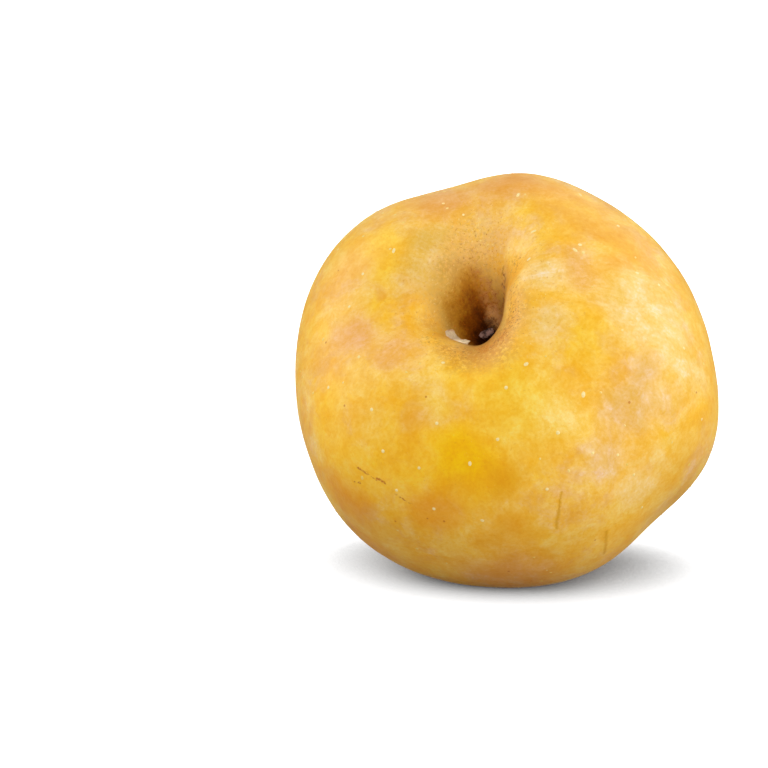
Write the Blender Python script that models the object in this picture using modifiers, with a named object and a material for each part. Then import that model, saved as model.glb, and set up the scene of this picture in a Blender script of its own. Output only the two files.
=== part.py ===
"""A whole ripe apple with a yellow, softly russeted skin, lying tipped over so that its stalk
cavity looks forward and up.

Metres, +Z up. The stalk cavity faces -Y. The origin is on the small flat spot that the apple
rests on, below its middle. Each piece is modelled in the apple's own frame, whose +Z runs out
of the stalk end and whose origin is the middle of the widest girth, and one empty tips that
frame over. Azimuths are degrees round the core from that frame's +X, and polar angles are
degrees from its stalk end, 0, to its calyx end, 180.
"""

import math

import bmesh
import bpy
import numpy as np
from mathutils import Euler, Matrix, Vector

MM = 0.001

# Polar angles of the two ends of the core
STALK_END = 0.0
CALYX_END = math.pi

# How the apple lies: its core is tipped forward from upright, then turned a little to its right.
TIP = math.radians(45.7)
TURN = math.radians(-15.0)
CENTRE_HEIGHT = 39.6 * MM

# The smooth body, a superellipse turned round the core
EQUATOR_RADIUS = 41.9 * MM
STALK_END_HEIGHT = 32.5 * MM
CALYX_END_HEIGHT = 34.5 * MM
STALK_END_SQUARENESS = 2.5
CALYX_END_SQUARENESS = 2.15

# Ribs that run from shoulder to crown: azimuth, half width in degrees, height
RIBS = (
    (91.0, 20.0, 1.2 * MM),
    (149.0, 26.0, 2.2 * MM),
    (233.0, 24.0, 1.5 * MM),
    (300.0, 18.0, 0.7 * MM),
    (348.0, 17.0, 1.9 * MM),
)

# Broad swellings and hollows of the cheeks: azimuth, polar angle, spread in degrees, height
LUMPS = (
    (42.0, 72.0, 38.0, -1.4 * MM),
    (113.0, 57.0, 15.0, -1.2 * MM),
    (285.0, 112.0, 30.0, 0.5 * MM),
    (327.0, 106.0, 12.0, -1.0 * MM),
    (278.0, 146.0, 22.0, 1.8 * MM),
)

# The stalk cavity: a wide bowl with a narrow throat at its middle
BOWL_DEPTH = 9.5 * MM
BOWL_RADIUS = 10.5 * MM
THROAT_DEPTH = 11.0 * MM
THROAT_RADIUS = 4.6 * MM
THROAT_WALL = 0.75 * MM

# Where the cavity's wall stands further out, or nearer the core when negative, than a round
# one: azimuth, half width in degrees, share. A wall further out is less steep.
WALL_REACHES = (
    (5.0, 58.0, -0.55),
    (98.0, 34.0, 0.78),
    (206.0, 44.0, 0.58),
    (270.0, 26.0, 0.24),
)
ROUND_MIDDLE = 3.0 * MM

# The calyx basin, shallower and wider, with one pleat beside each sepal
BASIN_DEPTH = 8.4 * MM
BASIN_RADIUS = 9.0 * MM
PLEATS = 5
PLEAT_DEPTH = 0.6 * MM

# Neighbouring pieces keep this far apart.
GAP = 0.3 * MM

# The stalk, a short stout stub that leans a little as it rises from the cavity's floor:
# its tip's place across the core, its length, its radius at the foot, waist and tip, and
# how far along it those are
STALK_LEAN = (-0.9 * MM, -1.1 * MM)
STALK_LENGTH = 5.4 * MM
STALK_RADII = (1.5 * MM, 1.35 * MM, 1.6 * MM)
STALK_PLACES = (0, 0.5, 1)
STALK_LEAN_POWER = 2

# The bract, a dry flake that lies along the near left rim of the throat, with how high its
# inner edge curls up at either end
BRACT_START = math.radians(201.0)
BRACT_END = math.radians(253.0)
BRACT_MIDDLE_RADIUS = 7.9 * MM
BRACT_WIDTH = 2.1 * MM
BRACT_THICKNESS = 0.3 * MM
BRACT_CURLS = (1.7 * MM, 1.6 * MM)

# How much narrower the bract is at its ends, how late it narrows, and how far and how often,
# in half turns, it weaves to and fro along its length
BRACT_NARROWING = 0.5
BRACT_NARROWING_POWER = 4
BRACT_WEAVE = 0.1 * BRACT_WIDTH
BRACT_WEAVE_TURNS = 3

# The calyx: dried sepals that are joined round a low cup in the basin, and curl outwards
SEPAL_REACH = 5.6 * MM
SEPAL_NOTCH = 1.3 * MM
SEPAL_POINT = 1.6
CALYX_THICKNESS = 0.9 * MM
CALYX_CUP = 1.1 * MM
CALYX_CUP_RADIUS = 1.6 * MM

# Mesh of the body: meridians, rings, and how strongly the rings crowd towards both ends
MERIDIANS = 88
RINGS = 48
CROWDING = 0.72

# Mesh of the small pieces, and how finely the skin is read where they lie on it
STALK_STEPS = 6
STALK_ROUNDING = 4
FOOT_STEP = 15
BRACT_STEPS = 14
BRACT_ROWS = 3
CALYX_SEGMENTS = 16 * PLEATS
CALYX_RINGS = 12
SKIN_SAMPLES = 400

# Base colour and roughness of each finish
SKIN_FINISH = ((0.82, 0.52, 0.1), 0.45)
STALK_FINISH = ((0.09, 0.05, 0.03), 0.8)
BRACT_FINISH = ((0.72, 0.52, 0.3), 0.8)
SEPAL_FINISH = ((0.13, 0.08, 0.04), 0.85)


def ring_angles(polar):
    """Polar angles with the rings drawn together where the cavity and the basin need them."""
    return polar - CROWDING * np.sin(2 * polar) / 2


def body_distance(polar):
    """Distance of the smooth body from the middle, before ribs, lumps and hollows."""
    stalk_side = polar < math.pi / 2
    height = np.where(stalk_side, STALK_END_HEIGHT, CALYX_END_HEIGHT)
    power = np.where(stalk_side, STALK_END_SQUARENESS, CALYX_END_SQUARENESS)
    across = np.abs(np.sin(polar) / EQUATOR_RADIUS) ** power
    along = np.abs(np.cos(polar) / height) ** power
    return (across + along) ** (-1 / power)


def angle_apart(azimuth, degrees):
    """Azimuth's signed distance from an azimuth in degrees, in radians within half a turn."""
    return (azimuth - math.radians(degrees) + math.pi) % (2 * math.pi) - math.pi


def rib_height(azimuth, polar):
    """Height of the ribs, which fade out towards both ends of the core."""
    total = np.zeros_like(azimuth)
    for place, half_width, height in RIBS:
        share = angle_apart(azimuth, place) / math.radians(half_width)
        total += height * np.exp(-(share**2))
    return total * np.sin(polar)


def lump_height(azimuth, polar):
    """Height of the broad swellings, negative in the hollows."""
    total = np.zeros_like(azimuth)
    for place, down, spread, height in LUMPS:
        down = math.radians(down)
        cosine = np.cos(polar) * math.cos(down) + np.sin(polar) * math.sin(down) * np.cos(
            angle_apart(azimuth, place)
        )
        total += height * np.exp((cosine - 1) / (1 - math.cos(math.radians(spread))))
    return total


def wall_reach(azimuth, radius):
    """How many times further out than a round one the cavity's wall stands."""
    total = np.zeros_like(azimuth)
    for place, half_width, share in WALL_REACHES:
        total += share * np.exp(-((angle_apart(azimuth, place) / math.radians(half_width)) ** 2))
    return 1 + total * (1 - np.exp(-((radius / ROUND_MIDDLE) ** 2)))


def cavity_depth(azimuth, radius):
    """Depth of the stalk cavity at a distance from the core."""
    reach = wall_reach(azimuth, radius)
    bowl = BOWL_DEPTH * np.exp(-((radius / (BOWL_RADIUS * reach)) ** 2))
    past_wall = (radius - THROAT_RADIUS * reach) / (THROAT_WALL * reach**2)
    return bowl + THROAT_DEPTH / (1 + np.exp(past_wall))


def basin_depth(azimuth, radius):
    """Depth of the calyx basin, with its pleats."""
    share = radius / BASIN_RADIUS
    pleats = PLEAT_DEPTH * np.cos(PLEATS * azimuth) * share * np.exp(1 - share)
    return BASIN_DEPTH * np.exp(-(share**2)) + pleats


def skin_points(azimuth, polar):
    """Points of the apple's skin in its own frame, as an array with one row for each point."""
    distance = body_distance(polar) + rib_height(azimuth, polar) + lump_height(azimuth, polar)
    radius = distance * np.sin(polar)
    height = distance * np.cos(polar)
    height = np.where(
        polar < math.pi / 2,
        height - cavity_depth(azimuth, radius),
        height + basin_depth(azimuth, radius),
    )
    return np.stack([radius * np.cos(azimuth), radius * np.sin(azimuth), height], axis=1)


def lying_matrix():
    """The apple's own frame, placed as the apple lies."""
    return Matrix.Translation((0, 0, CENTRE_HEIGHT)) @ Euler((TIP, 0, TURN)).to_matrix().to_4x4()


def rest_on_floor(points):
    """Lifts whatever lies below the floor straight up to it, which leaves the flat rest spot."""
    lying = np.array(lying_matrix())
    turned = points @ lying[:3, :3].T + lying[:3, 3]
    turned[:, 2] = np.maximum(turned[:, 2], 0)
    return (turned - lying[:3, 3]) @ lying[:3, :3]


def material(name, finish):
    colour, roughness = finish
    made = bpy.data.materials.new(name)
    made.use_nodes = True
    shader = made.node_tree.nodes["Principled BSDF"]
    shader.inputs["Base Color"].default_value = (*colour, 1)
    shader.inputs["Roughness"].default_value = roughness
    shader.inputs["Metallic"].default_value = 0
    return made


def add_piece(name, mesh, collection, parent, finish):
    mesh.shade_smooth()
    mesh.materials.append(finish)
    piece = bpy.data.objects.new(name, mesh)
    collection.objects.link(piece)
    piece.parent = parent
    return piece


def apple_mesh():
    """The flesh and skin: a sphere's vertices moved to the apple's surface."""
    bm = bmesh.new()
    bmesh.ops.create_uvsphere(bm, u_segments=MERIDIANS, v_segments=RINGS, radius=1)
    unit = np.array([vertex.co for vertex in bm.verts])
    azimuth = np.arctan2(unit[:, 1], unit[:, 0])
    polar = ring_angles(np.arccos(np.clip(unit[:, 2], -1, 1)))
    for vertex, point in zip(bm.verts, rest_on_floor(skin_points(azimuth, polar))):
        vertex.co = point
    mesh = bpy.data.meshes.new("apple")
    bm.to_mesh(mesh)
    bm.free()
    return mesh


def skin_point_at(end, azimuth, radius):
    """Point of the skin near one end of the core, at an azimuth and a distance from the core."""
    polar = np.linspace(end, math.pi / 2, SKIN_SAMPLES)
    points = skin_points(np.full_like(polar, azimuth), polar)
    height = np.interp(radius, np.hypot(points[:, 0], points[:, 1]), points[:, 2])
    return Vector((radius * math.cos(azimuth), radius * math.sin(azimuth), height))


def add_stalk(collection, parent, finish):
    """The stalk: a bent, tapered tube with a cut end."""
    curve = bpy.data.curves.new("stalk", "CURVE")
    curve.dimensions = "3D"
    curve.bevel_depth = MM
    curve.bevel_resolution = STALK_ROUNDING
    curve.use_fill_caps = True
    round_foot = np.radians(range(0, 360, FOOT_STEP))
    floor = max(skin_point_at(STALK_END, azimuth, STALK_RADII[0]).z for azimuth in round_foot)
    foot = Vector((0, 0, floor + GAP))
    spline = curve.splines.new("POLY")
    spline.points.add(STALK_STEPS)
    for step, point in enumerate(spline.points):
        share = step / STALK_STEPS
        lean = share**STALK_LEAN_POWER
        place = foot + Vector((lean * STALK_LEAN[0], lean * STALK_LEAN[1], share * STALK_LENGTH))
        point.co = (*place, 1)
        point.radius = np.interp(share, STALK_PLACES, STALK_RADII) / MM
    curve.materials.append(finish)
    stalk = bpy.data.objects.new("stalk", curve)
    collection.objects.link(stalk)
    stalk.parent = parent


def add_bract(collection, parent, finish):
    """The bract: a narrow wavy strip laid on the rim, whose inner edge curls up."""
    bm = bmesh.new()
    bmesh.ops.create_grid(bm, x_segments=BRACT_STEPS, y_segments=BRACT_ROWS, size=1)
    for vertex in bm.verts:
        along = (vertex.co.x + 1) / 2
        azimuth = BRACT_START + along * (BRACT_END - BRACT_START)
        taper = 1 - BRACT_NARROWING * abs(vertex.co.x) ** BRACT_NARROWING_POWER
        across = vertex.co.y * taper * BRACT_WIDTH / 2
        weave = BRACT_WEAVE * math.sin(BRACT_WEAVE_TURNS * math.pi * along)
        skin = skin_point_at(STALK_END, azimuth, BRACT_MIDDLE_RADIUS + across + weave)
        curl = np.interp(along, (0, 1), BRACT_CURLS) * (1 - vertex.co.y) / 2
        vertex.co = skin + Vector((0, 0, GAP + curl))
    bmesh.ops.triangulate(bm, faces=bm.faces)
    mesh = bpy.data.meshes.new("bract")
    bm.to_mesh(mesh)
    bm.free()
    bract = add_piece("bract", mesh, collection, parent, finish)
    solid = bract.modifiers.new("Thickness", "SOLIDIFY")
    solid.thickness = BRACT_THICKNESS


def calyx_mesh():
    """The calyx: a sphere drawn out into one flat pointed lobe for each sepal."""
    bm = bmesh.new()
    bmesh.ops.create_uvsphere(bm, u_segments=CALYX_SEGMENTS, v_segments=CALYX_RINGS, radius=1)
    for vertex in bm.verts:
        azimuth = math.atan2(vertex.co.y, vertex.co.x)
        share = math.hypot(vertex.co.x, vertex.co.y)
        lobe = abs(math.cos(PLEATS * azimuth / 2)) ** SEPAL_POINT
        radius = share * (SEPAL_NOTCH + (SEPAL_REACH - SEPAL_NOTCH) * lobe)
        skin = skin_point_at(CALYX_END, azimuth, radius)
        cup = CALYX_CUP * math.exp(-((radius / CALYX_CUP_RADIUS) ** 2))
        thick = CALYX_THICKNESS * (1 - vertex.co.z) / 2
        vertex.co = skin - Vector((0, 0, GAP + cup + thick))
    mesh = bpy.data.meshes.new("calyx")
    bm.to_mesh(mesh)
    bm.free()
    return mesh


def main():
    for old in list(bpy.data.objects):
        bpy.data.objects.remove(old)
    collection = bpy.data.collections.new("Apple")
    bpy.context.scene.collection.children.link(collection)
    core = bpy.data.objects.new("core", None)
    core.matrix_world = lying_matrix()
    collection.objects.link(core)
    add_piece("apple", apple_mesh(), collection, core, material("apple_skin", SKIN_FINISH))
    add_stalk(collection, core, material("stalk_wood", STALK_FINISH))
    add_bract(collection, core, material("dry_bract", BRACT_FINISH))
    add_piece("calyx", calyx_mesh(), collection, core, material("dry_sepal", SEPAL_FINISH))


main()
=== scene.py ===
"""The looks of a whole yellow apple: its fine skin, stalk, bract and calyx.

Positions are made in the apple's own frame, whose +Z runs out of the stalk end and whose origin
is the middle of the widest girth, and are then laid down as the apple lies. Azimuths are degrees
round the core and polar angles are degrees from its stalk end.
"""

import random
from math import acos, cos, pi, radians, sin

import bmesh
import bpy
import numpy as np
from mathutils import Euler, Matrix, Vector, noise


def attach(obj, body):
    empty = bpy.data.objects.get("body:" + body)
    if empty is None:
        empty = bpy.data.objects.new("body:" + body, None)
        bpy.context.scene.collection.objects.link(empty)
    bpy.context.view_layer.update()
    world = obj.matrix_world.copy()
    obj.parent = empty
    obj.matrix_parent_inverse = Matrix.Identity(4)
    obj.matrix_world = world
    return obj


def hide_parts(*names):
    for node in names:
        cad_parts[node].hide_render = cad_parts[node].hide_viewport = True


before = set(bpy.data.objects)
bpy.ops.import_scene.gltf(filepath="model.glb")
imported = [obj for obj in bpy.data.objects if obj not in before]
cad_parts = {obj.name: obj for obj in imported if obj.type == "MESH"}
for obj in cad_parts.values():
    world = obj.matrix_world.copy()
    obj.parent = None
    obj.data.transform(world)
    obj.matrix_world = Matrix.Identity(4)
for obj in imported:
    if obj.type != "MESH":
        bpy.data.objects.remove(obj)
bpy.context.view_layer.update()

MM = 0.001

# How the apple lies
TIP = radians(45.7)
TURN = radians(-15)
CENTRE_HEIGHT = 39.6 * MM

# Polar angles of the two ends of the core
STALK_END = 0
CALYX_END = pi

# The smooth body, a superellipse turned round the core
EQUATOR_RADIUS = 41.9 * MM
STALK_END_HEIGHT = 32.5 * MM
CALYX_END_HEIGHT = 34.5 * MM
STALK_END_SQUARENESS = 2.5
CALYX_END_SQUARENESS = 2.15

# Ribs: azimuth, half width in degrees, height
RIBS = (
    (91, 20, 1.2 * MM),
    (149, 26, 2.2 * MM),
    (233, 24, 1.5 * MM),
    (300, 18, 0.7 * MM),
    (348, 17, 1.9 * MM),
)

# Swellings and hollows: azimuth, polar angle, spread in degrees, height
LUMPS = (
    (42, 72, 38, -1.4 * MM),
    (113, 57, 15, -1.2 * MM),
    (285, 112, 30, 0.5 * MM),
    (327, 106, 12, -1 * MM),
    (278, 146, 22, 1.8 * MM),
)

# The stalk cavity
BOWL_DEPTH = 9.5 * MM
BOWL_RADIUS = 10.5 * MM
THROAT_DEPTH = 11 * MM
THROAT_RADIUS = 4.6 * MM
THROAT_WALL = 0.75 * MM
ROUND_MIDDLE = 3 * MM

# Where the cavity's wall stands further out than a round one: azimuth, half width, share
WALL_REACHES = (
    (5, 58, -0.55),
    (98, 34, 0.78),
    (206, 44, 0.58),
    (270, 26, 0.24),
)

# The calyx basin
BASIN_DEPTH = 8.4 * MM
BASIN_RADIUS = 9 * MM
PLEATS = 5
PLEAT_DEPTH = 0.6 * MM

# Mesh of the skin: meridians, rings, and how strongly the rings crowd towards both ends
MERIDIANS = 384
RINGS = 240
CROWDING = 0.72


def ring_angles(polar):
    """Polar angles with the rings drawn together where the cavity and the basin need them."""
    return polar - CROWDING * np.sin(2 * polar) / 2


def body_distance(polar):
    """Distance of the smooth body from the middle, before ribs, lumps and hollows."""
    stalk_side = polar < pi / 2
    height = np.where(stalk_side, STALK_END_HEIGHT, CALYX_END_HEIGHT)
    power = np.where(stalk_side, STALK_END_SQUARENESS, CALYX_END_SQUARENESS)
    across = np.abs(np.sin(polar) / EQUATOR_RADIUS) ** power
    along = np.abs(np.cos(polar) / height) ** power
    return (across + along) ** (-1 / power)


def angle_apart(azimuth, degrees):
    """Azimuth's signed distance from an azimuth in degrees, in radians within half a turn."""
    return (azimuth - radians(degrees) + pi) % (2 * pi) - pi


def rib_height(azimuth, polar):
    """Height of the ribs, which fade out towards both ends of the core."""
    total = np.zeros_like(azimuth)
    for place, half_width, height in RIBS:
        share = angle_apart(azimuth, place) / radians(half_width)
        total += height * np.exp(-(share**2))
    return total * np.sin(polar)


def lump_height(azimuth, polar):
    """Height of the broad swellings, negative in the hollows."""
    total = np.zeros_like(azimuth)
    for place, down, spread, height in LUMPS:
        down = radians(down)
        cosine = np.cos(polar) * cos(down) + np.sin(polar) * sin(down) * np.cos(
            angle_apart(azimuth, place)
        )
        total += height * np.exp((cosine - 1) / (1 - cos(radians(spread))))
    return total


def swell(azimuth, rows):
    """Sum of the rows' shares round the core, each fading with its half width."""
    total = np.zeros_like(azimuth)
    for place, half_width, share in rows:
        total += share * np.exp(-((angle_apart(azimuth, place) / radians(half_width)) ** 2))
    return total


def wall_reach(azimuth, radius):
    """How many times further out than a round one the cavity's wall stands."""
    return 1 + swell(azimuth, WALL_REACHES) * (1 - np.exp(-((radius / ROUND_MIDDLE) ** 2)))


def throat_share(azimuth, radius):
    """How much of the throat's depth is reached at a distance from the core, from 0 to 1."""
    reach = wall_reach(azimuth, radius)
    return 1 / (1 + np.exp((radius - THROAT_RADIUS * reach) / (THROAT_WALL * reach**2)))


def cavity_depth(azimuth, radius):
    """Depth of the stalk cavity at a distance from the core."""
    bowl = BOWL_DEPTH * np.exp(-((radius / (BOWL_RADIUS * wall_reach(azimuth, radius))) ** 2))
    return bowl + THROAT_DEPTH * throat_share(azimuth, radius)


def basin_depth(azimuth, radius):
    """Depth of the calyx basin, with its pleats."""
    share = radius / BASIN_RADIUS
    pleats = PLEAT_DEPTH * np.cos(PLEATS * azimuth) * share * np.exp(1 - share)
    return BASIN_DEPTH * np.exp(-(share**2)) + pleats


def skin_points(azimuth, polar):
    """Points of the apple's skin in its own frame, as an array with one row for each point."""
    distance = body_distance(polar) + rib_height(azimuth, polar) + lump_height(azimuth, polar)
    radius = distance * np.sin(polar)
    height = distance * np.cos(polar)
    height = np.where(
        polar < pi / 2,
        height - cavity_depth(azimuth, radius),
        height + basin_depth(azimuth, radius),
    )
    return np.stack([radius * np.cos(azimuth), radius * np.sin(azimuth), height], axis=1)


# Fine relief of the skin: wavelength and height of each layer of unevenness, and the wrinkles of
# the hollows, drawn out along the core
RELIEF_LAYERS = ((16 * MM, 0.16 * MM), (6 * MM, 0.07 * MM), (2.2 * MM, 0.018 * MM))
WRINKLE_HEIGHT = 0.16 * MM
WRINKLE_WAVE = 2.4 * MM
WRINKLE_STRETCH = (1, 1, 0.25)

# The cavity's browning, deepened by painted shade down the throat, follows the distance from the
# core, in mm, as far as STAIN_AND_SHADE_END. It is divided by how far the brown reaches on each
# side: azimuth, half width, share
STAIN_AND_SHADE_END = 16
STAIN_AND_SHADE_REACH = 0.35
STAIN_AND_SHADE_REACHES = (
    (116, 34, 0.85),
    (178, 32, 0.6),
    (276, 36, 0.88),
)

# Places tried along a meridian to find the skin at a distance from the core
SKIN_SAMPLES = 400


def smooth_noise(points, wave, stretch=(1, 1, 1)):
    """Noise from about -1 to 1 at each point."""
    scaled = points * np.array(stretch) / wave
    return np.array([noise.noise(point) for point in scaled.tolist()])


def stain_and_shade_distance(azimuth, polar):
    """Distance from the core in mm, divided by how far the brown and painted shade reach there."""
    points = skin_points(azimuth, polar)
    reach = STAIN_AND_SHADE_REACH + swell(azimuth, STAIN_AND_SHADE_REACHES)
    radius = np.hypot(points[:, 0], points[:, 1]) / MM
    return np.where(polar < pi / 2, radius / reach, STAIN_AND_SHADE_END)


def fine_skin(azimuth, polar):
    """Points of the skin with its fine relief: soft unevenness, and wrinkles in the hollows."""
    points = skin_points(azimuth, polar)
    outward = points / np.linalg.norm(points, axis=1)[:, None]
    lift = sum(height * smooth_noise(points, wave) for wave, height in RELIEF_LAYERS)
    radius = np.hypot(points[:, 0], points[:, 1])
    stalk_side = polar < pi / 2
    hollow = np.where(stalk_side, throat_share(azimuth, radius), 0)
    rim = 4 * hollow * (1 - hollow)
    basin = np.where(stalk_side, 0, np.exp(-((radius / BASIN_RADIUS) ** 2)))
    lift += WRINKLE_HEIGHT * smooth_noise(points, WRINKLE_WAVE, WRINKLE_STRETCH) * (rim + basin)
    return points + outward * lift[:, None]


def around(azimuth, radius=1.0, height=0.0):
    """Point at an azimuth round the core, a distance from it and a height."""
    return Vector((radius * cos(azimuth), radius * sin(azimuth), height))


def skin_point_at(end, azimuth, radius):
    """Point of the smooth skin near one end, at an azimuth and a distance from the core."""
    polar = np.linspace(end, pi / 2, SKIN_SAMPLES)
    points = skin_points(np.full_like(polar, azimuth), polar)
    height = np.interp(radius, np.hypot(points[:, 0], points[:, 1]), points[:, 2])
    return around(azimuth, radius, height)


def lying_matrix():
    """The apple's own frame, placed as the apple lies."""
    return Matrix.Translation((0, 0, CENTRE_HEIGHT)) @ Euler((TIP, 0, TURN)).to_matrix().to_4x4()


def lay_down(points):
    """Points of the apple's own frame where they lie in the world, none below the floor."""
    lying = np.array(lying_matrix())
    laid = np.asarray(points, float) @ lying[:3, :3].T + lying[:3, 3]
    laid[:, 2] = np.maximum(laid[:, 2], 0)
    return laid


# Colours as seen in even light, from 0 to 255
GOLD = (252, 203, 68)
PEACH = (244, 194, 96)
BRIGHT_YELLOW = (255, 207, 40)
LEMON = (255, 214, 62)
PALE_LEMON = (255, 219, 92)
DEEP_YELLOW = (255, 198, 8)
GREEN_YELLOW = (252, 198, 0)
AMBER = (242, 183, 22)
PALE_YELLOW = (243, 214, 116)
CREAM = (251, 220, 130)
GREEN_CREAM = (240, 209, 116)
GREY_GREEN = (226, 193, 96)
PINK_TAN = (242, 185, 98)
TAN_ORANGE = (235, 172, 74)
ORANGE = (243, 182, 60)
BURNT_ORANGE = (243, 168, 30)
RIM_BROWN = (212, 138, 34)
BRUISE = (236, 199, 120)
OLIVE = (246, 188, 56)
FRECKLE = (204, 108, 22)
SCRATCH = (202, 112, 40)
DENT = (222, 156, 10)
FLECK = (255, 228, 152)
GRAIN = (253, 248, 224)
SKIN_DOWN = (255, 214, 178)
RUSSET = (198, 140, 82)
RUSSET_PALE = (222, 164, 104)
WALL_OLIVE = (196, 148, 58)
FAR_BUFF = (244, 198, 128)
RIM_GOLD = (236, 178, 66)
RUSSET_DARK = (156, 70, 6)
DOT = (252, 230, 170)
DOT_DULL = (244, 208, 108)
STALK_SIDE = (66, 34, 16)
STALK_DARK = (26, 12, 8)
STALK_CUT = (158, 124, 112)
BRACT_PALE = (254, 234, 194)
BRACT_SHADE = (222, 176, 122)
SEPAL_BROWN = (92, 66, 40)
SEPAL_GREY = (150, 138, 112)

# Patches of the skin: azimuth, polar angle, radius in mm, colour, strength. Later ones lie over
# earlier ones.
PATCHES = (
    # shoulder left of the cavity
    (172, 45, 8, ORANGE, 0.4),
    (153, 37, 6.5, BRIGHT_YELLOW, 0.9),
    (168, 36, 4, BRIGHT_YELLOW, 0.7),
    (188, 36, 2.6, BRIGHT_YELLOW, 0.8),
    (182, 35, 2, ORANGE, 0.9),
    (201, 43, 6.5, PINK_TAN, 0.9),
    (223, 34, 5, PINK_TAN, 0.6),
    (190, 55, 4, DEEP_YELLOW, 0.5),
    (217, 58, 6, DEEP_YELLOW, 0.6),
    # far side, above the cavity
    (118, 47, 9, TAN_ORANGE, 0.85),
    (90, 49, 9, TAN_ORANGE, 0.9),
    (72, 48, 7, ORANGE, 0.8),
    (132, 28, 6, GREY_GREEN, 0.8),
    # Greenish skin, paled by a painted sheen highlight on the cavity's left flank
    (162, 23, 6.5, GREEN_CREAM, 0.9),
    # shoulder right of the cavity
    (52, 47, 8, AMBER, 0.8),
    (33, 50, 7, AMBER, 0.85),
    (24, 45, 3.5, ORANGE, 0.6),
    (19, 33, 6, PEACH, 0.8),
    # Painted highlight: this cream patch on the cavity's right flank stands for a soft highlight
    (18, 20.5, 4, CREAM, 0.9),
    (334, 26, 4.5, CREAM, 0.95),
    # Painted highlight: the next two pale yellow patches carry the broad highlight of the right
    # shoulder
    (3, 49, 10, PALE_YELLOW, 0.95),
    (350, 64, 10, PALE_YELLOW, 0.8),
    (338, 38, 6, BRIGHT_YELLOW, 0.6),
    (341.5, 56, 4, BRUISE, 0.9),
    (330, 59, 7, BRUISE, 0.85),
    # cheek towards the front
    (268, 31, 5.5, BRIGHT_YELLOW, 0.6),
    (286, 33, 6.5, BRIGHT_YELLOW, 0.9),
    (295, 43, 9, LEMON, 0.9),
    (306, 51, 6, PALE_LEMON, 0.85),
    (255, 60, 12, DEEP_YELLOW, 0.6),
    (234, 68, 9, DEEP_YELLOW, 0.6),
    (272, 54, 10, DEEP_YELLOW, 0.9),
    (271, 55, 7, GREEN_YELLOW, 0.9),
    (283, 61, 4.5, AMBER, 0.8),
    (257, 42, 4, PALE_LEMON, 0.95),
    (252, 49, 3, ORANGE, 0.7),
    (314, 65, 6, BRUISE, 0.6),
    (321, 76, 8, CREAM, 0.35),
    # cheek towards the floor
    (236, 80, 7, BURNT_ORANGE, 0.7),
    (263, 72, 6, BURNT_ORANGE, 0.75),
    (281, 78, 7, OLIVE, 0.8),
    (242, 98, 8, BURNT_ORANGE, 0.6),
    (279, 99, 12, TAN_ORANGE, 0.85),
    # the side turned away
    (110, 96, 15, PALE_YELLOW, 0.6),
    (70, 118, 14, DEEP_YELLOW, 0.7),
    (150, 112, 12, ORANGE, 0.7),
    (20, 122, 12, PINK_TAN, 0.7),
    (190, 100, 13, LEMON, 0.7),
    (205, 135, 11, GREY_GREEN, 0.7),
    (310, 135, 12, TAN_ORANGE, 0.7),
    (92, 75, 7, BRUISE, 0.6),
)

# Colours that lie over the cavity's brown and its rim
RIM_PATCHES = (
    (290, 23, 5.5, RIM_BROWN, 0.75),
    (264, 24, 5, RIM_BROWN, 0.65),
    (320, 14.5, 2.2, RIM_BROWN, 1),
    (304, 18.5, 2.4, RIM_BROWN, 1),
    (282, 20, 2.2, RIM_BROWN, 0.9),
    (243, 22, 2.6, RIM_BROWN, 0.7),
    (199, 20, 2.6, RIM_BROWN, 0.4),
    (351, 12.5, 3.2, RIM_GOLD, 1),
    (334, 15.5, 3.6, RIM_GOLD, 1),
    (321, 18.5, 3.2, RIM_GOLD, 0.8),
    (140, 18.5, 4, WALL_OLIVE, 0.65),
    (105, 27, 6.5, FAR_BUFF, 0.6),
    (90, 24, 3.5, FAR_BUFF, 0.6),
    (88, 8.5, 2.8, RUSSET_PALE, 0.8),
)

# Fine russet specks along the cavity's rim, in the same form
RIM_SPECKS = (
    (60, 17, 2.8, RUSSET_DARK, 0.6),
    (22, 10.5, 3, RUSSET_DARK, 0.7),
    (345, 11, 2.8, RUSSET_DARK, 0.7),
    (325, 14.5, 3, RUSSET_DARK, 0.8),
    (304, 17.5, 3.2, RUSSET_DARK, 0.8),
    (282, 19.5, 3, RUSSET_DARK, 0.7),
    (258, 21.5, 3, RUSSET_DARK, 0.6),
    (225, 22, 3, RUSSET_DARK, 0.45),
)

# The cavity's colour from its bottom outwards, russet brown that the darkest stops deepen with
# painted shade of the throat: distance in mm, colour
CAVITY_STAIN_AND_SHADE = (
    (2.4, (34, 12, 2)),
    (3.5, (66, 26, 0)),
    (4.5, (98, 45, 0)),
    (5.5, (132, 72, 4)),
    (6.5, (163, 104, 18)),
    (7.5, (188, 131, 36)),
    (8.5, (204, 153, 60)),
    (9.5, (215, 170, 80)),
    (11.5, (226, 181, 92)),
    (13.5, (237, 189, 98)),
)

# Thin brown scratches and shallow dents: both ends as azimuth and polar angle, half width in mm
SCRATCHES = (
    ((238.3, 65.6), (241.5, 65.8), 0.26),
    ((241.5, 65.8), (245, 66.4), 0.12),
    ((244.6, 65.8), (247.4, 65.8), 0.28),
    ((237, 70.6), (239.6, 69.6), 0.22),
    ((251, 68.2), (255.6, 69.9), 0.18),
)
DENTS = (
    ((298.3, 68.3), (296.1, 73.2), 0.28),
    ((296.1, 73.2), (294.3, 79), 0.42),
    ((306.6, 88.9), (304.9, 99), 0.45),
)

# Dark broken line down the cavity's right wall, in the same form
WALL_LINES = (
    ((81, 22), (76, 18.9), 0.7),
    ((76, 18.9), (79, 18.5), 0.8),
    ((79, 18.5), (89, 16.8), 0.6),
)

# These lines lie on a sphere as wide as the cheeks, radius in mm, and end so many half widths from
# their middles. Then the shares of two kinds
CHEEK_RADIUS = 42
LINE_END = 1.5
WALL_LINE_SHARE = 0.8
DENT_SHARE = 0.75

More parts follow.
